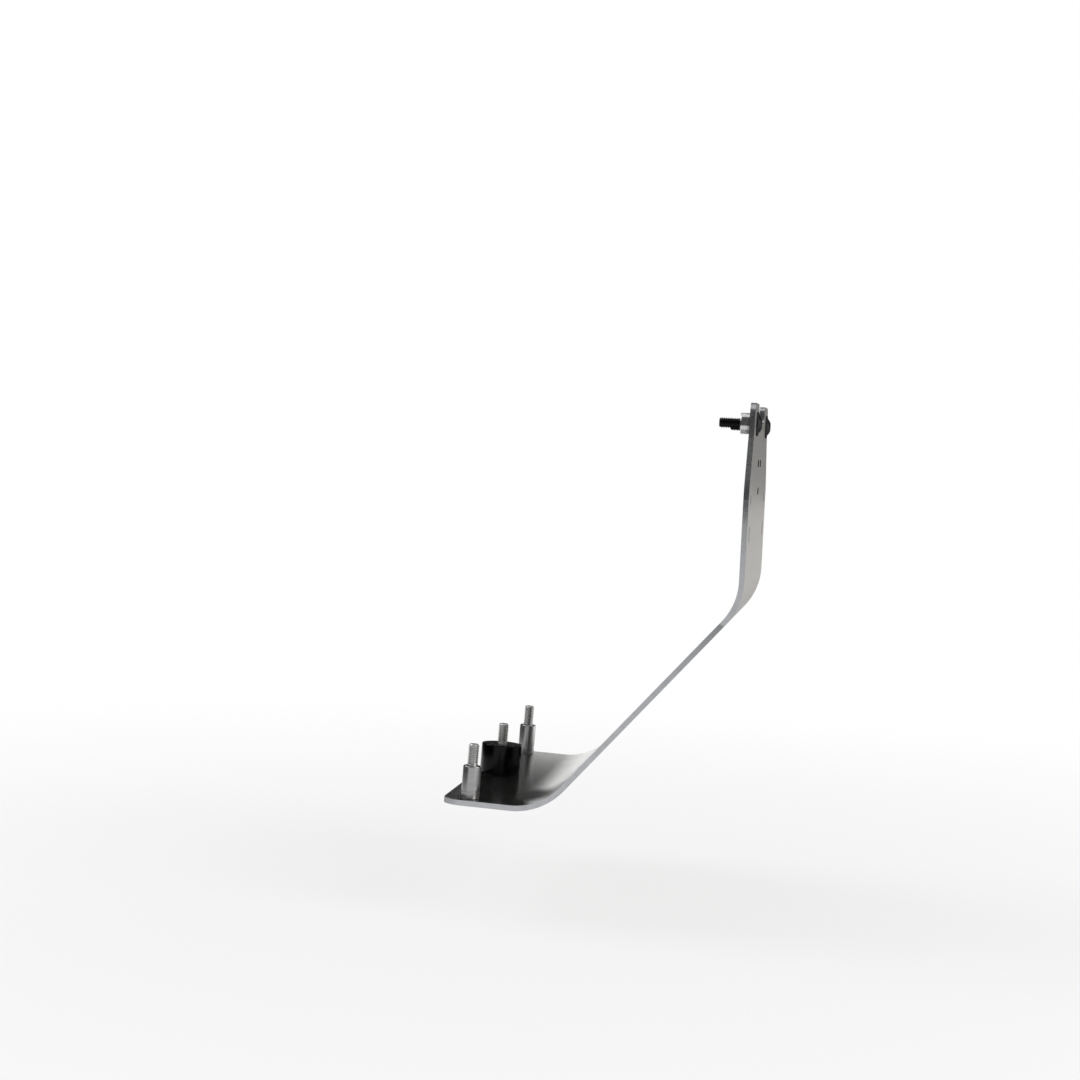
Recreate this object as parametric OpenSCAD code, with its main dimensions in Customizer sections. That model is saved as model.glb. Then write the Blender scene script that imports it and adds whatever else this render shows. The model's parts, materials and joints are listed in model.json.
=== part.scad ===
// Motorcycle engine guard: one bent aluminium sheet with its fixing screws and spacers.
// +X is forward, +Y is to the rider's left and +Z is up along the front panel.
// The origin is midway between the two upper screws, on the rear ends of their spacers.

/* [Sheet] */
// Thickness of the sheet
sheet_t = 3; // [2:0.5:4]
// Inner radius of both bends
bend_r = 34; // [12:1:44]
// Angle of the upper bend, in degrees
upper_bend = 41; // [30:1:50]
// Angle of the lower bend, in degrees
lower_bend = 51; // [40:1:60]

/* [Front panel] */
// Width of the front panel
front_w = 190; // [172:1:225]
// Flat height of the front panel, from its top edge to the upper bend
front_h = 98; // [90:1:140]
// Width over the two ears at the top
ear_w = 148; // [130:1:168]
// Height of the ears' straight sides
ear_h = 15; // [10:1:18]
// Height over which the ears widen to the full width
shoulder_h = 33; // [24:1:40]
// Corner radius of the ears
ear_r = 9; // [4:0.5:12]
// Radius where the ears meet the shoulders and the shoulders meet the sides
shoulder_r = 22; // [8:1:28]
// Width of the notch between the ears
notch_w = 62; // [40:1:70]
// Depth of the notch between the ears
notch_d = 10; // [6:0.5:12]
// Corner radius of the notch
notch_r = 5; // [2:0.5:6]

/* [Slots] */
// Length of a vent slot, across the guard
vent_l = 12; // [8:0.5:18]
// Height of a vent slot
vent_h = 4; // [3:0.25:6]
// Spacing of the vent slots, centre to centre
vent_pitch = 24; // [20:0.5:28]
// Vent slots in the first row; each lower row has one fewer
vent_count = 2; // [1:1:3]
// Distance from the top edge down to the first row
vent_drop = 33.5; // [28:0.5:38]
// Height from one row of vent slots to the next
vent_row = 16; // [10:0.5:20]
// Distance of the side slots from the edge of the front panel
side_slot_inset = 22; // [14:0.5:30]
// Width of a side slot
side_slot_w = 4; // [3:0.25:5]
// Heights of the upper and lower side slots
side_slot_h = [6, 9]; // [5:0.5:14]
// Distances from the top edge down to the middles of the side slots
side_slot_drop = [54, 73]; // [48:0.5:84]

/* [Diagonal and sump panel] */
// Flat length of the diagonal panel
slope_l = 124; // [90:1:160]
// Width of the sump panel
sump_w = 232; // [200:1:260]
// Flat length of the sump panel, behind the lower bend
sump_l = 38; // [34:1:80]
// Radius of the sump panel's rear corners
sump_r = 11; // [4:0.5:14]

/* [Screws] */
// Outer diameter of the screws' thread
thread_d = 6; // [5:0.5:7]
// How much narrower the plain shank is than the thread
shank_relief = 0.7; // [0.5:0.1:1]
// Diameter of the flange under an upper screw's head
flange_d = 13.6; // [12:0.2:15]
// Thickness of that flange
flange_t = 1; // [0.8:0.1:1.4]
// Diameter of the head's dome where it meets the flange
dome_d = 10.5; // [10:0.1:11.5]
// Height of the whole upper head, with its flange
head_h = 3.3; // [3:0.1:4]
// Depth of plain hole left under each countersunk sump screw
csk_land = 0.3; // [0.2:0.1:0.6]
// Width across the flats of the heads' hexagon sockets
socket_af = 4; // [3:0.5:5]
// Depth of the heads' hexagon sockets
socket_depth = 2; // [1.5:0.1:2.4]
// Length of thread that stands out behind each spacer
thread_out = 12; // [8:0.5:20]
// Chamfer at the end of the thread
thread_tip = 0.8; // [0.4:0.1:1.2]

/* [Fixings] */
// Spacing of the upper screws, centre to centre
upper_pitch = 104; // [98:1:112]
// Distance from the top edge down to the upper screws
upper_drop = 11.5; // [10.5:0.5:14]
// Diameter of the upper spacers
upper_spacer_d = 12; // [10:0.5:14]
// Length of the upper spacers
upper_spacer_l = 6; // [4:0.5:12]
// Distance of the outer sump screws from the sides of the sump panel
sump_screw_inset = 11; // [10:0.5:20]
// Distance of the sump screws from the lower bend
sump_screw_back = 24; // [18:0.5:26]
// Diameter of the outer sump spacers
outer_spacer_d = 10; // [9:0.1:14]
// Diameter of the centre sump spacer
centre_spacer_d = 24; // [14:0.5:28]
// Length of all three sump spacers
sump_spacer_l = 18; // [12:0.5:30]
// Height of the outer sump spacers' groove above the sheet
groove_up = 4; // [2:0.5:8]
// Width of that groove
groove_w = 0.8; // [0.6:0.1:1.6]
// Depth of that groove
groove_depth = 0.4; // [0.2:0.1:0.8]
// Chamfer at both ends of every spacer
spacer_chamfer = 0.4; // [0.2:0.1:0.6]
// Radial clearance of the screws in the sheet's holes
hole_gap = 0.3; // [0.2:0.05:0.5]
// Radial clearance of the screws in the spacers
bore_gap = 0.2; // [0.1:0.05:0.3]
// Radial clearance of the countersunk heads in their countersinks
csk_gap = 0.05; // [0.02:0.01:0.1]

/* [Hidden] */
$fn = 96;

arc_steps = 10;         // straight steps in each rounded corner of an outline
bend_step = 2;          // angle of one straight step in a bend, in degrees
cut = 1;                // how far a cutter runs past the face it opens
taper_lead = 2;         // flat stretch at each end of the diagonal panel with no taper
side_clear = 0.02;      // how far the front outline's sides lie outside the cut that forms them
shank_d = thread_d - shank_relief;
hole_d = thread_d + 2 * hole_gap;
spacer_bore = thread_d + 2 * bore_gap;
csk_depth = sheet_t - csk_land;
csk_d = thread_d + 2 * csk_depth;
right = -1;
left = 1;

// The sheet's own frame: x runs down and round the bends, y is across, z is the outer face's normal.
// z is 0 on the inner face and sheet_t on the outer face.
module at_top_edge() { translate([upper_spacer_l, 0, upper_drop]) rotate([0, 90, 0]) children(); }
module past_flat(length) { translate([length, 0, 0]) children(); }
module past_bend(angle) {
    translate([0, 0, -bend_r]) rotate([0, angle, 0]) translate([0, 0, bend_r]) children();
}
module at_upper_bend() { at_top_edge() past_flat(front_h) children(); }
module at_slope() { at_upper_bend() past_bend(upper_bend) children(); }
module at_lower_bend() { at_slope() past_flat(slope_l) children(); }
module at_sump_panel() { at_lower_bend() past_bend(lower_bend) children(); }

// Points along the arc of radius r that rounds the corner at b, on the way from a to c.
function unit(v) = v / norm(v);
function corner_arc(a, b, c, r) =
    let (
        to_a = unit(a - b),
        to_c = unit(c - b),
        half = acos(to_a * to_c) / 2,
        centre = b + unit(to_a + to_c) * r / sin(half),
        from = b + to_a * r / tan(half) - centre,
        to = b + to_c * r / tan(half) - centre,
        start = atan2(from.y, from.x),
        turn = atan2(from.x * to.y - from.y * to.x, from * to)
    )
    [for (i = [0:arc_steps]) centre + r * [cos(start + turn * i / arc_steps), sin(start + turn * i / arc_steps)]];

// Outline through points of the form [x, y, corner radius]; radius 0 leaves the corner sharp.
function rounded_outline(points) =
    let (n = len(points), at = function (i) [points[(i + n) % n].x, points[(i + n) % n].y])
    [for (i = [0:n - 1]) each points[i].z > 0 ? corner_arc(at(i - 1), at(i), at(i + 1), points[i].z) : [at(i)]];

// The sheet's section: both faces run straight down, round the bends and back.
function travel(angle) = [-sin(angle), -cos(angle)];
function outward(angle) = [cos(angle), -sin(angle)];
bend_sum = upper_bend + lower_bend;
upper_centre = [upper_spacer_l - bend_r, upper_drop - front_h];
lower_centre = upper_centre + slope_l * travel(upper_bend);
function bend_arc(centre, r, from, to) =
    let (steps = ceil((to - from) / bend_step))
    [for (i = [0:steps]) centre + r * outward(from + (to - from) * i / steps)];
function face_line(r) = concat(
    [upper_centre + r * outward(0) - (front_h + cut) * travel(0)],
    bend_arc(upper_centre, r, 0, upper_bend),
    bend_arc(lower_centre, r, upper_bend, bend_sum),
    [lower_centre + r * outward(bend_sum) + (sump_l + cut) * travel(bend_sum)]
);
function reversed(list) = [for (i = [len(list) - 1:-1:0]) list[i]];
function mirrored(points) = [for (p = reversed(points)) [p.x, -p.y, p.z]];

// Half outlines, as [distance down the panel, distance from the middle, corner radius].
front_half = [
    [notch_d, notch_w / 2, notch_r],
    [0, notch_w / 2, notch_r],
    [0, ear_w / 2, ear_r],
    [ear_h, ear_w / 2, shoulder_r],
    [ear_h + shoulder_h, front_w / 2 + side_clear, shoulder_r],
    [front_h, front_w / 2 + side_clear, 0]
];
sump_half = [[-cut, sump_w / 2, 0], [sump_l, sump_w / 2, sump_r]];

module slot(length, width) {
    for (end = [-1, 1]) translate([0, end * (length - width) / 2]) circle(d = width);
    square([width, length - width], center = true);
}
module vent_slots() {
    for (row = [0:vent_count - 1], i = [0:vent_count - 1 - row])
        translate([vent_drop + row * vent_row, (i - (vent_count - 1 - row) / 2) * vent_pitch])
            slot(vent_l, vent_h);
}
module side_slots() {
    for (side = [right, left], i = [0:len(side_slot_h) - 1])
        translate([side_slot_drop[i], side * (front_w / 2 - side_slot_inset)])
            rotate(90) slot(side_slot_h[i], side_slot_w);
}

// The bent sheet, a little long and at its full width, before its outline is cut.
module bent_blank() {
    rotate([90, 0, 0]) linear_extrude(sump_w, center = true)
        polygon(concat(face_line(bend_r + sheet_t), reversed(face_line(bend_r))));
}
// What is cut away round an outline, between two distances down a panel.
module around(half_outline, from, to) {
    translate([0, 0, -cut]) linear_extrude(sheet_t + 2 * cut) difference() {
        translate([from, -sump_w / 2 - cut]) square([to - from, sump_w + 2 * cut]);
        polygon(rounded_outline(concat(half_outline, mirrored(half_outline))));
    }
}
// The sides taper along the diagonal panel, and everything above it is as narrow as its upper end.
module side_taper(side) {
    grow = (sump_w - front_w) / 2 / (slope_l - 2 * taper_lead);
    above = front_h + slope_l;
    depth = front_h + bend_r;
    translate([0, 0, -depth]) linear_extrude(depth + bend_r) polygon([
        [-above, side * front_w / 2],
        [taper_lead, side * front_w / 2],
        [slope_l, side * (front_w / 2 + grow * (slope_l - taper_lead))],
        [slope_l, side * sump_w],
        [-above, side * sump_w]
    ]);
}

// Places for the screws, on the sheet's inner face.
module at_upper_screw(side) { at_top_edge() translate([upper_drop, side * upper_pitch / 2, 0]) children(); }
module at_sump_screw(side) {
    at_sump_panel() translate([sump_screw_back, side * (sump_w / 2 - sump_screw_inset), 0]) children();
}
module screw_hole() { translate([0, 0, -cut]) cylinder(d = hole_d, h = sheet_t + 2 * cut); }
// Countersink at 90 degrees, from the outer face.
module countersink() {
    narrow_d = thread_d + 2 * csk_gap;
    depth = csk_depth + cut;
    translate([0, 0, csk_land]) cylinder(d1 = narrow_d, d2 = narrow_d + 2 * depth, h = depth);
}

module guard_plate() {
    color([0.72, 0.72, 0.71]) difference() {
        bent_blank();
        for (side = [right, left]) at_slope() side_taper(side);
        at_top_edge() around(front_half, -2 * cut, ear_h + shoulder_h + shoulder_r);
        at_sump_panel() around(sump_half, sump_l - sump_r - cut, sump_l + 2 * cut);
        at_top_edge() translate([0, 0, -cut]) linear_extrude(sheet_t + 2 * cut) {
            vent_slots();
            side_slots();
        }
        for (side = [right, left]) at_upper_screw(side) screw_hole();
        for (side = [right, 0, left]) at_sump_screw(side) {
            screw_hole();
            countersink();
        }
    }
}

// Screws. Height 0 is the flanged head's bearing face, or the countersunk head's flat top.
module shank(reach) {
    translate([0, 0, -reach + thread_out]) cylinder(d = shank_d, h = reach - thread_out);
    translate([0, 0, -reach + thread_tip]) cylinder(d = thread_d, h = thread_out - thread_tip);
    translate([0, 0, -reach]) cylinder(d1 = thread_d - 2 * thread_tip, d2 = thread_d, h = thread_tip);
}
module socket(top) {
    translate([0, 0, top - socket_depth])
        cylinder(d = socket_af / cos(30), h = socket_depth + cut, $fn = 6);
}
module head_profile() {
    square([flange_d / 2, flange_t]);
    intersection() {
        dome_h = head_h - flange_t;
        dome_sphere_r = (pow(dome_d / 2, 2) + pow(dome_h, 2)) / (2 * dome_h);
        translate([0, head_h - dome_sphere_r]) circle(r = dome_sphere_r);
        square([dome_d / 2, head_h]);
    }
}
module flanged_screw(reach) {
    difference() {
        rotate_extrude() head_profile();
        socket(head_h);
    }
    shank(reach);
}
module countersunk_screw(reach) {
    difference() {
        union() {
            translate([0, 0, -csk_depth]) cylinder(d1 = thread_d, d2 = csk_d, h = csk_depth);
            shank(reach);
        }
        socket(0);
    }
}
module upper_screw(side) {
    color([0.30, 0.30, 0.31]) at_upper_screw(side) translate([0, 0, sheet_t])
        flanged_screw(sheet_t + upper_spacer_l + thread_out);
}
module sump_screw(side) {
    color([0.62, 0.62, 0.61]) at_sump_screw(side) translate([0, 0, sheet_t])
        countersunk_screw(sheet_t + sump_spacer_l + thread_out);
}

// Spacer tube that stands on the inner face, chamfered at both ends.
module spacer(diameter, length) {
    inner = spacer_bore / 2;
    outer = diameter / 2;
    rotate_extrude() polygon([
        [inner, 0], [outer - spacer_chamfer, 0], [outer, -spacer_chamfer],
        [outer, spacer_chamfer - length], [outer - spacer_chamfer, -length], [inner, -length]
    ]);
}
module upper_spacer(side) {
    color([0.86, 0.86, 0.86]) at_upper_screw(side) spacer(upper_spacer_d, upper_spacer_l);
}
module grooved_spacer(diameter, length) {
    difference() {
        spacer(diameter, length);
        translate([0, 0, -groove_up]) rotate_extrude()
            translate([diameter / 2 - groove_depth, -groove_w / 2]) square([groove_depth + cut, groove_w]);
    }
}
module outer_sump_spacer(side) {
    color([0.50, 0.50, 0.51]) at_sump_screw(side) grooved_spacer(outer_spacer_d, sump_spacer_l);
}
module centre_sump_spacer() {
    color([0.07, 0.07, 0.08]) at_sump_screw(0) spacer(centre_spacer_d, sump_spacer_l);
}

guard_plate();
upper_screw(right);  // upper_screw_right
upper_screw(left);  // upper_screw_left
upper_spacer(right);  // upper_spacer_right
upper_spacer(left);  // upper_spacer_left
sump_screw(right);  // sump_screw_right
sump_screw(0);  // sump_screw_centre
sump_screw(left);  // sump_screw_left
outer_sump_spacer(right);  // sump_spacer_right
centre_sump_spacer();  // sump_spacer_centre
outer_sump_spacer(left);  // sump_spacer_left
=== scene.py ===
"""Motorcycle engine guard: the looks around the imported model.

Lengths are in metres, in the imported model's frame: +X is forward, +Y is to the
rider's left and +Z is up along the front panel. The origin is midway between the
two upper screws, on the rear ends of their spacers.
"""

import json
import math

import bmesh
import bpy
from mathutils import Matrix, Vector

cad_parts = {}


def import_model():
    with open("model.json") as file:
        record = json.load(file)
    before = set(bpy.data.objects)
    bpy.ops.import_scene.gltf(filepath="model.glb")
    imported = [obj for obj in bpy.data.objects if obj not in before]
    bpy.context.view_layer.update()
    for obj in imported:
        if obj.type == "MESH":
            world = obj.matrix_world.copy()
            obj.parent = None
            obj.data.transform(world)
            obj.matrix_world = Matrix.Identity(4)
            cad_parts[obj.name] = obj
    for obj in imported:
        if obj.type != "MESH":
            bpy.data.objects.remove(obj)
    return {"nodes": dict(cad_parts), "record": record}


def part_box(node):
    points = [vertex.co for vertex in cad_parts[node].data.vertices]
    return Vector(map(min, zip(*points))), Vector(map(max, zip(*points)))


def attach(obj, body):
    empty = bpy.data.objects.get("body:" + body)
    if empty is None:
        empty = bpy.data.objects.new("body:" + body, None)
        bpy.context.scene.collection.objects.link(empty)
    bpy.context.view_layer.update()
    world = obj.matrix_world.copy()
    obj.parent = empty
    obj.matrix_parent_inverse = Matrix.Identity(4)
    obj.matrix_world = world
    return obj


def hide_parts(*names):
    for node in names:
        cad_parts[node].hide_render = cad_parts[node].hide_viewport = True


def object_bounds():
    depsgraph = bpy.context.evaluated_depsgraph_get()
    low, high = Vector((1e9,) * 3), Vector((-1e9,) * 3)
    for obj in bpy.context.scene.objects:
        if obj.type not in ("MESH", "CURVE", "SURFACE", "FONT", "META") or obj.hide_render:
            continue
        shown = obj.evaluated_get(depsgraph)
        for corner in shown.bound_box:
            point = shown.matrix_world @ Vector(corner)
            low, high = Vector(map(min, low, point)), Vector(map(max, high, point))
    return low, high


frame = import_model()
cad_box = [list(corner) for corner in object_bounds()]

MM = 0.001
BODY = "root"

# The bent sheet, as the model has it.
SHEET_T = 3 * MM
BEND_R = 34 * MM
UPPER_BEND = math.radians(41)
LOWER_BEND = math.radians(51)
BEND_SUM = UPPER_BEND + LOWER_BEND
FRONT_H = 98 * MM
SLOPE_L = 124 * MM

# Its dressing: the rounding of the outline's cut edge and of the holes, the distance at which corners
# weld together, the angle up to which triangles join into one flat face, and the least cosine between
# a face's normal and the sheet's for the face to belong to one of its two sides.
EDGE_ROUNDING = 0.28 * MM
HOLE_ROUNDING = 0.08 * MM
WELD = 0.002 * MM
FLAT_ANGLE = math.radians(0.5)
SIDE_COSINE = 0.7

# The screws: M6 with hexagon sockets. The upper ones have flanged button heads, and the lower ones
# are countersunk.
SHANK_R = 2.65 * MM
THREAD_R = 3 * MM
CREST_R = 2.97 * MM
ROOT_R = 2.4 * MM
THREAD_PITCH = 1 * MM
THREAD_LENGTH = 12 * MM
TIP_CHAMFER = 0.8 * MM
FLANGE_R = 6.8 * MM
FLANGE_T = 1 * MM
FLANGE_SOFT = 0.3 * MM
DOME_R = 5.25 * MM
HEAD_H = 3.3 * MM
CSK_DEPTH = 2.7 * MM
CSK_LIP = 0.25 * MM
CSK_SOFT = 0.1 * MM
UPPER_REACH = 21 * MM
SUMP_REACH = 33 * MM

# The thread's form: the shares of half a turn that the crest and the flank take, the length over which
# it runs out, its rings in each turn, and the step from its end to the plain shank.
CREST_SHARE = 0.14
FLANK_SHARE = 0.6
RUN_OUT = 1.5 * THREAD_PITCH
STEPS_PER_TURN = 14
SHANK_STEP = 0.1 * MM

# The socket: its hexagon, the rings of its chamfered rim as (added width, height), its drilled floor,
# and how far its rim lies below a flat head's top.
SOCKET_AF = 4 * MM
SOCKET_DEPTH = 2 * MM
SOCKET_RIM = ((0.2 * MM, 0.01 * MM), (0.05 * MM, -0.08 * MM), (0, -0.2 * MM))
SOCKET_FLOOR_R = 0.9 * MM
SOCKET_FLOOR_CONE = 0.25 * MM
SOCKET_SINK = 0.02 * MM

# The button head's dome: the rings of the fillet at its foot as (added radius, height above the flange),
# the height above the flange at which the dome starts, and the radius at which it meets the socket's rim.
DOME_FILLET = ((0.35 * MM, 0), (0.08 * MM, 0.08 * MM))
DOME_START = 0.25 * MM
DOME_END_R = 2.45 * MM

# The spacers.
SPACER_BORE_R = 3.2 * MM
SPACER_CHAMFER = 0.4 * MM
SPACER_SOFT = 0.08 * MM
UPPER_SPACER = {"radius": 6 * MM, "length": 6 * MM}
OUTER_SPACER = {"radius": 5 * MM, "length": 18 * MM, "groove": True}
CENTRE_SPACER = {"radius": 12 * MM, "length": 18 * MM}
GROOVE_UP = 4 * MM
GROOVE_W = 0.8 * MM
GROOVE_DEPTH = 0.4 * MM

# Steps round a turned piece, round a small rounding and up the dome, and the angle above which an edge
# is sharp.
SEGMENTS = 96
ROUNDING_STEPS = 5
DOME_STEPS = 14
SHARP_ANGLE = math.radians(32)


# Mesh helpers.

def new_object(name, mesh):
    piece = bpy.data.objects.new(name, mesh)
    bpy.context.scene.collection.objects.link(piece)
    return piece


def shade_smooth(mesh):
    """Shades the mesh smooth, apart from its sharp edges."""
    for polygon in mesh.polygons:
        polygon.use_smooth = True
    mesh.set_sharp_from_angle(angle=SHARP_ANGLE)


def lathed(name, rings, closed_loop=False):
    """Solid about Z. Each ring is (radius, height), where the radius may be a function of the angle."""
    bm = bmesh.new()
    loops = []
    for radius, height in rings:
        loop = []
        for i in range(SEGMENTS):
            angle = 2 * math.pi * i / SEGMENTS
            out = radius(angle) if callable(radius) else radius
            loop.append(bm.verts.new((out * math.cos(angle), out * math.sin(angle), height)))
        loops.append(loop)
    pairs = list(zip(loops, loops[1:]))
    if closed_loop:
        pairs.append((loops[-1], loops[0]))
    for lower, upper in pairs:
        for i in range(SEGMENTS):
            j = (i + 1) % SEGMENTS
            bm.faces.new((lower[i], lower[j], upper[j], upper[i]))
    if not closed_loop:
        for loop, height in ((loops[0], rings[0][1]), (loops[-1], rings[-1][1])):
            centre = bm.verts.new((0, 0, height))
            for i in range(SEGMENTS):
                bm.faces.new((loop[i], loop[(i + 1) % SEGMENTS], centre))
    bmesh.ops.recalc_face_normals(bm, faces=bm.faces)
    mesh = bpy.data.meshes.new(name)
    bm.to_mesh(mesh)
    bm.free()
    shade_smooth(mesh)
    return new_object(name, mesh)


def arc(centre, radius, start, end, steps):
    """Points (radius, height) on an arc, angles in degrees."""
    found = []
    for i in range(steps + 1):
        angle = math.radians(start + (end - start) * i / steps)
        found.append((centre[0] + radius * math.cos(angle), centre[1] + radius * math.sin(angle)))
    return found


# The pieces.

plate_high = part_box("guard_plate")[1]


def sheet_normal(point):
    """The outer face's normal where the point is on the sheet."""
    upper = Vector((plate_high.x - SHEET_T - BEND_R, 0, plate_high.z - FRONT_H))
    travel = Vector((-math.sin(UPPER_BEND), 0, -math.cos(UPPER_BEND)))
    lower = upper + SLOPE_L * travel
    angle = math.atan2(upper.z - point.z, point.x - upper.x)
    if angle > UPPER_BEND:
        angle = UPPER_BEND
        if (point - upper).dot(travel) > SLOPE_L:
            angle = math.atan2(lower.z - point.z, point.x - lower.x) % (2 * math.pi)
    angle = min(max(angle, 0), BEND_SUM)
    return Vector((math.cos(angle), 0, -math.sin(angle)))


def islands(faces):
    """The faces in groups that hang together."""
    left = set(faces)
    found = []
    while left:
        group = [left.pop()]
        for face in group:
            for edge in face.edges:
                joined = [other for other in edge.link_faces if other in left]
                left.difference_update(joined)
                group.extend(joined)
        found.append(group)
    return found


def guard_plate(materials):
    """The CAD sheet with flat faces joined up and its cut edges slightly rounded, the holes' less.

    The materials are for its outer side, its inner side, its outline's cut edge and its holes, whose
    walls carry painted shade.
    """
    outer, inner, cut, hole = range(4)
    mesh = frame["nodes"]["guard_plate"].data.copy()
    mesh.materials.clear()
    for material in materials:
        mesh.materials.append(material)
    bm = bmesh.new()
    bm.from_mesh(mesh)
    bmesh.ops.remove_doubles(bm, verts=bm.verts, dist=WELD)
    bmesh.ops.dissolve_limit(bm, angle_limit=FLAT_ANGLE, verts=bm.verts, edges=bm.edges)
    for face in bm.faces:
        facing = face.normal.dot(sheet_normal(face.calc_center_median()))
        if abs(facing) < SIDE_COSINE:
            face.material_index = cut
        else:
            face.material_index = outer if facing > 0 else inner
    walls = islands(face for face in bm.faces if face.material_index == cut)
    outline = max(walls, key=lambda group: sum(face.calc_area() for face in group))
    for group in walls:
        if group is not outline:
            for face in group:
                face.material_index = hole
    for kind, rounding in ((cut, EDGE_ROUNDING), (hole, HOLE_ROUNDING)):
        rims = []
        for edge in bm.edges:
            kinds = {face.material_index for face in edge.link_faces}
            if kinds in ({outer, kind}, {inner, kind}):
                rims.append(edge)
        bmesh.ops.bevel(bm, geom=rims, offset=rounding, offset_type="OFFSET", segments=2,
                        profile=0.5, affect="EDGES", material=kind, clamp_overlap=True)
    bmesh.ops.triangulate(bm, faces=[face for face in bm.faces if len(face.verts) > 4])
    bm.to_mesh(mesh)
    bm.free()
    shade_smooth(mesh)
    return with_flat_panels(new_object("bent_sheet", mesh))


def with_flat_panels(piece):
    """Large faces keep their own normals, so that only the rounded edges shade as round."""
    modifier = piece.modifiers.new("normals", "WEIGHTED_NORMAL")
    modifier.keep_sharp = True
    modifier.weight = 100
    shaped = piece.evaluated_get(bpy.context.evaluated_depsgraph_get())
    piece.data = bpy.data.meshes.new_from_object(shaped)
    piece.modifiers.clear()
    return piece


def hexagon(across_flats):
    """Radius of a hexagon as a function of the angle."""
    def radius(angle):
        sector = math.pi / 3
        return across_flats / 2 / math.cos((angle + sector / 2) % sector - sector / 2)
    return radius


def thread_radius(height, start):
    """Radius of the thread at a height, as a function of the angle.

    It starts in the tip's chamfer and runs out towards the plain shank.
    """
    def radius(angle):
        phase = (height / THREAD_PITCH - angle / (2 * math.pi)) % 1
        off_crest = abs(phase - 0.5) * 2
        depth = min(max((off_crest - CREST_SHARE) / FLANK_SHARE, 0), 1)
        run_in = min(max((start + THREAD_LENGTH - height) / RUN_OUT, 0), 1)
        threaded = CREST_R - (CREST_R - ROOT_R) * depth * run_in
        return min(threaded, CREST_R - TIP_CHAMFER + (height - start))
    return radius


def shank_rings(reach):
    """Rings from the tip up to the plain shank, which ends at height 0."""
    start = -reach
    steps = int(THREAD_LENGTH / THREAD_PITCH * STEPS_PER_TURN)
    rings = [(CREST_R - TIP_CHAMFER, start)]
    for i in range(1, steps):
        height = start + THREAD_LENGTH * i / steps
        rings.append((thread_radius(height, start), height))
    return rings + [(SHANK_R, start + THREAD_LENGTH + SHANK_STEP)]


def socket_rings(rim, floor):
    """Rings of a hexagon socket with a chamfered rim, from its rim down to its floor."""
    rings = [(hexagon(SOCKET_AF + wider), rim + up) for wider, up in SOCKET_RIM]
    return rings + [(hexagon(SOCKET_AF), floor), (SOCKET_FLOOR_R, floor - SOCKET_FLOOR_CONE)]


def flanged_screw(name, reach):
    """The underside of the flange is at height 0, and the shank runs down to -reach."""
    soft = FLANGE_SOFT
    rings = shank_rings(reach) + [(SHANK_R, -soft), (SHANK_R + soft, 0)]
    rings += arc((FLANGE_R - soft, soft), soft, -90, 0, ROUNDING_STEPS)
    rings += arc((FLANGE_R - soft, FLANGE_T - soft), soft, 0, 90, ROUNDING_STEPS)
    rings += [(DOME_R + out, FLANGE_T + up) for out, up in DOME_FILLET]
    dome_h = HEAD_H - FLANGE_T
    sphere = (DOME_R ** 2 + dome_h ** 2) / (2 * dome_h)
    foot = math.degrees(math.asin((FLANGE_T + DOME_START - HEAD_H + sphere) / sphere))
    top = math.degrees(math.acos(DOME_END_R / sphere))
    rings += arc((0, HEAD_H - sphere), sphere, foot, top, DOME_STEPS)
    rings += socket_rings(rings[-1][1], HEAD_H - SOCKET_DEPTH)
    return lathed(name, rings)


def countersunk_screw(name, reach):
    """The head's flat top is at height 0, and the shank runs down to -reach."""
    lip_r = THREAD_R + CSK_DEPTH - CSK_LIP
    rings = shank_rings(reach) + [(SHANK_R, -CSK_DEPTH - CSK_SOFT), (THREAD_R, -CSK_DEPTH)]
    rings += [(lip_r, -CSK_LIP), (lip_r + CSK_SOFT, -CSK_SOFT), (lip_r, 0)]
    rings += socket_rings(-SOCKET_SINK, -SOCKET_DEPTH)
    return lathed(name, rings)


def spacer(name, radius, length, groove=False):
    """A tube from height 0 down to -length, with chamfered ends and, if asked for, a groove round it."""
    chamfer = SPACER_CHAMFER
    soft = SPACER_SOFT
    rings = [
        (SPACER_BORE_R, -length + soft), (SPACER_BORE_R, -soft), (SPACER_BORE_R + soft, 0),
        (radius - chamfer, 0), (radius - soft / 2, -chamfer + soft / 2), (radius, -chamfer - soft),
    ]
    if groove:
        upper, lower = -GROOVE_UP + GROOVE_W / 2, -GROOVE_UP - GROOVE_W / 2
        rings += [
            (radius, upper + soft), (radius - soft, upper), (radius - GROOVE_DEPTH, upper),
            (radius - GROOVE_DEPTH, lower), (radius - soft, lower), (radius, lower - soft),
        ]
    rings += [
        (radius, -length + chamfer + soft), (radius - soft / 2, -length + chamfer - soft / 2),
        (radius - chamfer, -length), (SPACER_BORE_R + soft, -length),
    ]
    return lathed(name, rings, closed_loop=True)


# Materials.

# The noise's roughness, the levels between which it mostly stays, and how many times fewer cycles the
# broad grain has than the fine one.
NOISE_ROUGHNESS = 0.6
NOISE_LOW = 0.3
NOISE_HIGH = 0.7
BROADER = 9


def shader(name):
    """A new node material, with its tree and its Principled shader."""
    material = bpy.data.materials.new(name)
    material.use_nodes = True
    tree = material.node_tree
    return material, tree, tree.nodes["Principled BSDF"]


def add(tree, kind, inputs=None, **settings):
    node = tree.nodes.new(kind)
    for key, value in settings.items():
        setattr(node, key, value)
    for key, value in (inputs or {}).items():
        if isinstance(value, bpy.types.NodeSocket):
            tree.links.new(value, node.inputs[key])
        else:
            node.inputs[key].default_value = value
    return node


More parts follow.
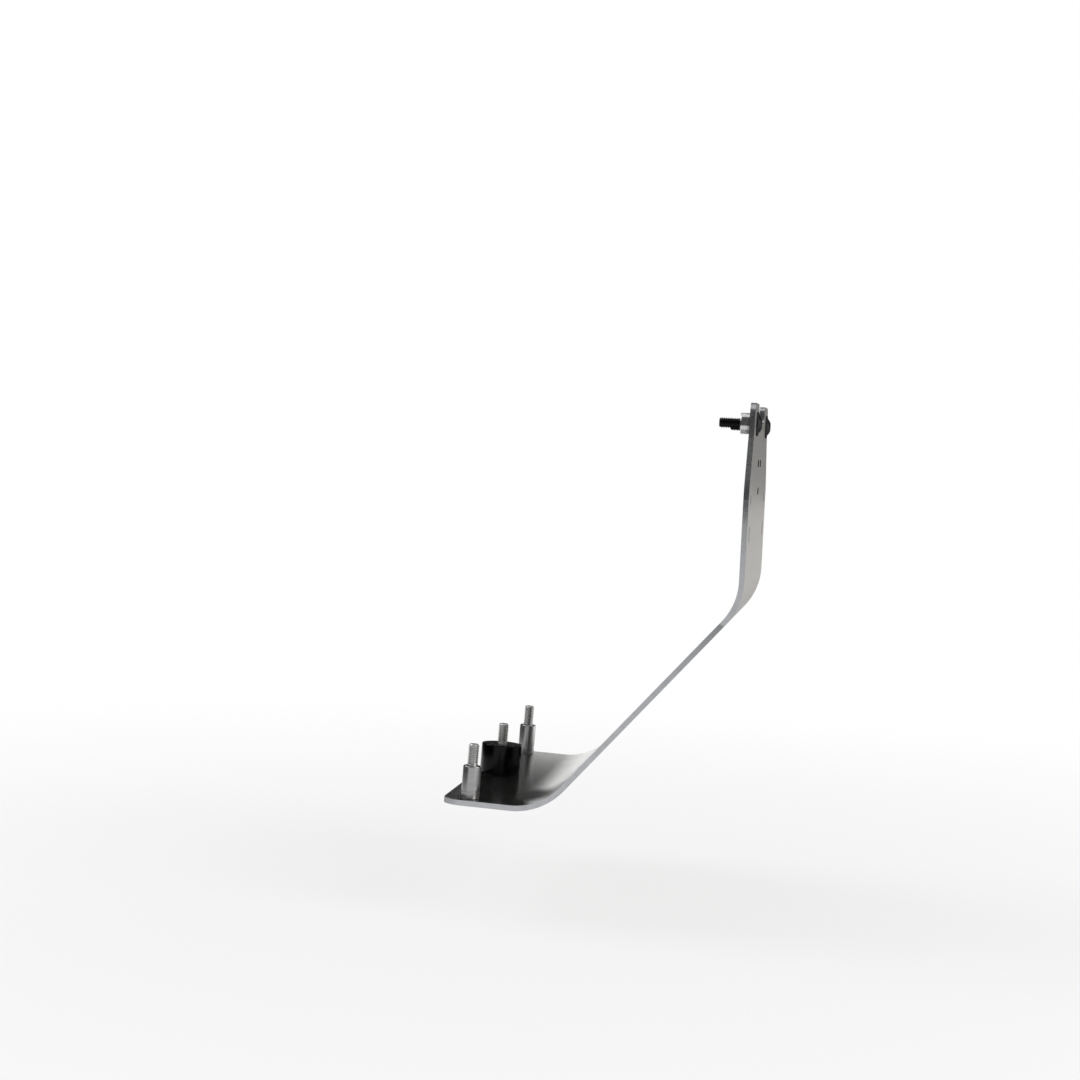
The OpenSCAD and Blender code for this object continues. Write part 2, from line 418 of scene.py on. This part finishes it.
def noise(tree, scale, detail=4):
    """Noise on object coordinates, stretched by a scale in cycles per metre along each axis."""
    place = add(tree, "ShaderNodeTexCoord")
    stretch = add(tree, "ShaderNodeMapping", {"Vector": place.outputs["Object"], "Scale": scale})
    return add(tree, "ShaderNodeTexNoise", {
        "Vector": stretch.outputs["Vector"], "Scale": 1, "Detail": detail, "Roughness": NOISE_ROUGHNESS,
    }).outputs["Fac"]


def spread(tree, value, low, high):
    """The noise value, mapped so that its usual levels give low to high."""
    return add(tree, "ShaderNodeMapRange", {
        "Value": value, "From Min": NOISE_LOW, "From Max": NOISE_HIGH, "To Min": low, "To Max": high,
    }).outputs["Result"]


def tinted(tree, value, colour, depth):
    """The colour, lighter and darker with the value by up to the depth."""
    dark = [part * (1 - depth) for part in colour] + [1]
    light = [min(1, part * (1 + depth)) for part in colour] + [1]
    mix = add(tree, "ShaderNodeMix", {"Factor": value}, data_type="RGBA")
    first, second = (socket for socket in mix.inputs if socket.type == "RGBA")
    first.default_value = dark
    second.default_value = light
    return next(socket for socket in mix.outputs if socket.type == "RGBA")


def metal(name, colour, roughness, grain, depth, rough_spread, bump, edge_tint=None):
    """Metal whose colour, gloss and relief follow a grain of noise, in cycles per metre along each axis.

    The depth is for the colour, the rough_spread for the gloss and the bump, a height, for the relief.
    """
    material, tree, surface = shader(name)
    fine = noise(tree, grain)
    broad = noise(tree, [cycles / BROADER for cycles in grain], detail=2)
    both = add(tree, "ShaderNodeMath", {0: fine, 1: broad}, operation="ADD").outputs[0]
    mean = add(tree, "ShaderNodeMath", {0: both, 1: 0.5}, operation="MULTIPLY").outputs[0]
    shade = spread(tree, mean, 0, 1)
    tree.links.new(tinted(tree, shade, colour, depth), surface.inputs["Base Color"])
    tree.links.new(spread(tree, fine, roughness - rough_spread, roughness + rough_spread),
                   surface.inputs["Roughness"])
    relief = add(tree, "ShaderNodeBump", {"Height": fine, "Strength": 1, "Distance": bump})
    tree.links.new(relief.outputs["Normal"], surface.inputs["Normal"])
    surface.inputs["Metallic"].default_value = 1
    if edge_tint:
        surface.inputs["Specular Tint"].default_value = (*edge_tint, 1)
    return material


def matt_grey(name, grey):
    material, _, surface = shader(name)
    surface.inputs["Base Color"].default_value = (grey, grey, grey, 1)
    surface.inputs["Roughness"].default_value = 1
    return material


BRUSHED = metal("brushed_aluminium", (0.54, 0.527, 0.508), 0.34, (24, 3600, 24),
                depth=0.09, rough_spread=0.06, bump=0.007 * MM, edge_tint=(0.50, 0.49, 0.48))
MILLED = metal("mill_aluminium", (0.6, 0.59, 0.57), 0.2, (24, 2600, 24),
               depth=0.07, rough_spread=0.04, bump=0.004 * MM, edge_tint=(0.6, 0.6, 0.6))
CUT_EDGE = metal("cut_edge", (0.43, 0.435, 0.452), 0.28, (2400, 500, 2400),
                 depth=0.12, rough_spread=0.06, bump=0.0008 * MM, edge_tint=(0.45, 0.45, 0.45))
# Near black: painted shade on the walls of the holes and vent slots, far darker than the outline's cut
# edge of the same sheet.
HOLE_WALL_SHADE = metal("hole_wall_painted_shade", (0.07, 0.07, 0.071), 0.45, (1900, 500, 1900),
                  depth=0.15, rough_spread=0.08, bump=0.002 * MM)
DARK_SCREW = metal("dark_screw_steel", (0.04, 0.04, 0.042), 0.33, (900, 900, 900),
                   depth=0.10, rough_spread=0.06, bump=0.006 * MM, edge_tint=(0.4, 0.4, 0.4))
STEEL_SCREW = metal("screw_steel", (0.50, 0.50, 0.49), 0.30, (900, 900, 900),
                    depth=0.08, rough_spread=0.06, bump=0.006 * MM)
TURNED = metal("turned_aluminium", (0.6, 0.6, 0.61), 0.2, (60, 60, 5200),
               depth=0.05, rough_spread=0.05, bump=0.004 * MM)
# Near black all over: a painted dark reflection of the engine round the centre spacer.
NEAR_BLACK_PAINTED_REFLECTION = metal("black_painted_reflection", (0.012, 0.012, 0.013), 0.2, (60, 60, 5200),
              depth=0.1, rough_spread=0.05, bump=0.003 * MM)
# Steel grey, kept well below bare steel's level: partly the steel's own colour, partly a painted dark
# reflection of the engine round the outer spacers.
STEEL_WITH_PAINTED_REFLECTION = metal("turned_steel_and_painted_reflection", (0.33, 0.33, 0.335), 0.3, (60, 60, 5200),
                     depth=0.06, rough_spread=0.05, bump=0.004 * MM)


# Assembly.

def placed(piece, position, outward):
    """Puts the piece's Z axis along outward, with its height 0 at the position."""
    turn = Vector(outward).to_track_quat("Z", "Y").to_matrix().to_4x4()
    piece.data.transform(Matrix.Translation(position) @ turn)
    return piece


def dressed(piece, node, material=None):
    if material is not None:
        piece.data.materials.append(material)
    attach(piece, BODY)
    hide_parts(node)
    return piece


mounts = {mount["name"]: mount for mount in frame["record"]["mounts"]}
front_x = plate_high.x

dressed(guard_plate([BRUSHED, MILLED, CUT_EDGE, HOLE_WALL_SHADE]), "guard_plate")

upper_half = mounts["upper_studs"]["dims"]["spacing_x_mm"] / 2 * MM
for side, sign in (("right", -1), ("left", 1)):
    y = sign * upper_half
    screw = placed(flanged_screw(f"upper_bolt_{side}", UPPER_REACH), (front_x, y, 0), (1, 0, 0))
    dressed(screw, f"upper_screw_{side}", DARK_SCREW)
    tube = placed(spacer(f"upper_tube_{side}", **UPPER_SPACER), (front_x - SHEET_T, y, 0), (1, 0, 0))
    dressed(tube, f"upper_spacer_{side}", TURNED)

for side, size, slot, finish in (
    ("right", OUTER_SPACER, "steel_spacer", STEEL_WITH_PAINTED_REFLECTION),
    ("centre", CENTRE_SPACER, "black_spacer", NEAR_BLACK_PAINTED_REFLECTION),
    ("left", OUTER_SPACER, "steel_spacer", STEEL_WITH_PAINTED_REFLECTION),
):
    outward = Vector((math.cos(BEND_SUM), 0, -math.sin(BEND_SUM)))
    low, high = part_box(f"sump_spacer_{side}")
    middle = (low + high) / 2
    seat = middle + outward * size["length"] / 2
    screw = placed(countersunk_screw(f"sump_bolt_{side}", SUMP_REACH), seat + outward * SHEET_T, outward)
    dressed(screw, f"sump_screw_{side}", STEEL_SCREW)
    tube = placed(spacer(f"sump_tube_{side}", **size), seat, outward)
    dressed(tube, f"sump_spacer_{side}", finish)


# Floor, light and camera.

# The floor turns from partly to fully white between two distances from the middle.
FLOOR_DROP = 60 * MM
FLOOR_REACH = 30
FLOOR_GREY = 0.86
FADE_START = 0.25
FADE_END = 1.1
FADE_SHARE = 0.55
SKY_LIGHT = 0.6
WHITE = (1, 1, 1, 1)


def seeing_rays(tree):
    """1 for camera, glossy and transmission rays, and 0 for the others."""
    path = add(tree, "ShaderNodeLightPath")
    total = path.outputs["Is Camera Ray"]
    for kind in ("Is Glossy Ray", "Is Transmission Ray"):
        either = add(tree, "ShaderNodeMath", {0: total, 1: path.outputs[kind]}, operation="MAXIMUM")
        total = either.outputs[0]
    return total


def floor_material():
    """Pale floor that takes shadows. It looks near white, and quite white further off.

    Its underside is clear, so that the guard shows from below as well.
    """
    material, tree, surface = shader("pale_floor")
    surface.inputs["Base Color"].default_value = (FLOOR_GREY, FLOOR_GREY, FLOOR_GREY, 1)
    surface.inputs["Roughness"].default_value = 0.9
    place = add(tree, "ShaderNodeTexCoord")
    away = add(tree, "ShaderNodeVectorMath", {0: place.outputs["Object"]}, operation="LENGTH")
    fade = add(tree, "ShaderNodeMapRange", {
        "Value": away.outputs["Value"], "From Min": FADE_START, "From Max": FADE_END,
        "To Min": FADE_SHARE, "To Max": 1,
    }, interpolation_type="SMOOTHSTEP").outputs["Result"]
    share = add(tree, "ShaderNodeMath", {0: seeing_rays(tree), 1: fade}, operation="MULTIPLY")
    white = add(tree, "ShaderNodeEmission", {"Color": WHITE, "Strength": 1})
    matt = surface.outputs[0]
    top = add(tree, "ShaderNodeMixShader", {0: share.outputs[0], 1: matt, 2: white.outputs[0]})
    below = add(tree, "ShaderNodeNewGeometry").outputs["Backfacing"]
    clear = add(tree, "ShaderNodeBsdfTransparent")
    mix = add(tree, "ShaderNodeMixShader", {0: below, 1: top.outputs[0], 2: clear.outputs[0]})
    tree.links.new(mix.outputs[0], tree.nodes["Material Output"].inputs["Surface"])
    return material


def floor():
    mesh = bpy.data.meshes.new("floor")
    far = FLOOR_REACH
    height = cad_box[0][2] - FLOOR_DROP
    corners = [(-far, -far, height), (far, -far, height), (far, far, height), (-far, far, height)]
    mesh.from_pydata(corners, [], [(0, 1, 2, 3)])
    mesh.materials.append(floor_material())
    ground = new_object("floor", mesh)


def world():
    """White where the camera and reflections look, and a plain level of light for matt surfaces."""
    sky = bpy.data.worlds.new("studio")
    bpy.context.scene.world = sky
    sky.use_nodes = True
    tree = sky.node_tree
    lit = tree.nodes["Background"]
    lit.inputs["Color"].default_value = WHITE
    lit.inputs["Strength"].default_value = SKY_LIGHT
    seen = add(tree, "ShaderNodeBackground", {"Color": WHITE, "Strength": 1})
    mix = add(tree, "ShaderNodeMixShader", {0: seeing_rays(tree), 1: lit.outputs[0], 2: seen.outputs[0]})
    tree.links.new(mix.outputs[0], tree.nodes["World Output"].inputs["Surface"])


def area_light(name, position, size, power):
    """A square lamp that points at the middle of the guard."""
    target = (Vector(cad_box[0]) + Vector(cad_box[1])) / 2
    data = bpy.data.lights.new(name, "AREA")
    data.shape = "SQUARE"
    data.size = size
    data.energy = power
    lamp = bpy.data.objects.new(name, data)
    bpy.context.scene.collection.objects.link(lamp)
    lamp.location = position
    lamp.rotation_euler = (target - Vector(position)).to_track_quat("-Z", "Y").to_euler()


def camera():
    """The photograph's camera, worked out in a frame that is level in the picture.

    The lens, the picture and the vanishing point are in the photograph's pixels.
    """
    lens_px = 2380.0
    picture_px = 1080.0
    distance = 1389 * MM
    vanish_x, vanish_y = 878.0, 467.0
    lean = math.radians(2.885)
    row_origin = Vector((-76.16, 0, 24.45)) * MM
    across = (vanish_x - picture_px / 2) / lens_px
    above = (picture_px / 2 - vanish_y) / lens_px
    length = math.sqrt(1 + across ** 2 + above ** 2)
    sin_yaw = across / length
    cos_yaw = math.sqrt(1 - sin_yaw ** 2)
    sin_tilt = above / length / cos_yaw
    cos_tilt = math.sqrt(1 - sin_tilt ** 2)
    right = Vector((cos_yaw, sin_yaw, 0))
    forward = Vector((-sin_yaw * cos_tilt, cos_yaw * cos_tilt, -sin_tilt))
    up = right.cross(forward)
    level = Matrix.Translation((0, -distance, 0)) @ Matrix((right, up, -forward)).transposed().to_4x4()
    data = bpy.data.cameras.new("camera")
    data.sensor_width = 36
    data.lens = lens_px / picture_px * data.sensor_width
    data.clip_start = 0.01
    data.clip_end = 100
    eye = bpy.data.objects.new("camera", data)
    bpy.context.scene.collection.objects.link(eye)
    eye.matrix_world = Matrix.Rotation(-lean, 4, "Y") @ Matrix.Translation(-row_origin) @ level
    bpy.context.scene.camera = eye


def flag(name, start, end, z_from, z_to, grey):
    """A dark upright card that only reflections see: it gives the metal something dark to mirror."""
    mesh = bpy.data.meshes.new(name)
    corners = [(*start, z_from), (*end, z_from), (*end, z_to), (*start, z_to)]
    mesh.from_pydata(corners, [], [(0, 1, 2, 3)])
    mesh.materials.append(matt_grey(f"{name}_grey", grey))
    card = new_object(name, mesh)
    card.visible_camera = False
    card.visible_diffuse = False
    card.visible_shadow = False


floor()
world()

# The first two darken the front panel and the near cut edge towards the top, and the third the inner
# side as seen from behind. The fourth softens the near edge's change of tone. The last stands in for
# the engine, which the sump panel mirrors in the photograph.
flag("flag_far", start=(-0.05, 0.42), end=(0.9, 0.42), z_from=-0.05, z_to=0.9, grey=0.36)
flag("flag_near", start=(-0.5, -0.4), end=(0.3, -0.4), z_from=-0.055, z_to=1.4, grey=0.1)
flag("flag_back", start=(-0.8, -0.9), end=(-0.8, 0.9), z_from=-0.25, z_to=0.3, grey=0.04)
flag("flag_edge", start=(-0.08, -0.175), end=(0.03, -0.175), z_from=-0.056, z_to=0.1, grey=0.12)
flag("flag_engine", start=(-0.9, 0.3), end=(-0.05, 0.3), z_from=-0.185, z_to=0.35, grey=0.01)

area_light("key", position=(1.4, -0.5, 0.8), size=1.1, power=12)
area_light("fill", position=(1.1, 0.9, -0.05), size=1.0, power=5)
area_light("back", position=(-1.2, 0.2, 0.6), size=1.0, power=5)
area_light("low", position=(-0.4, 1.4, -0.22), size=0.4, power=0.4)

camera()
bpy.context.scene.view_settings.view_transform = "Standard"
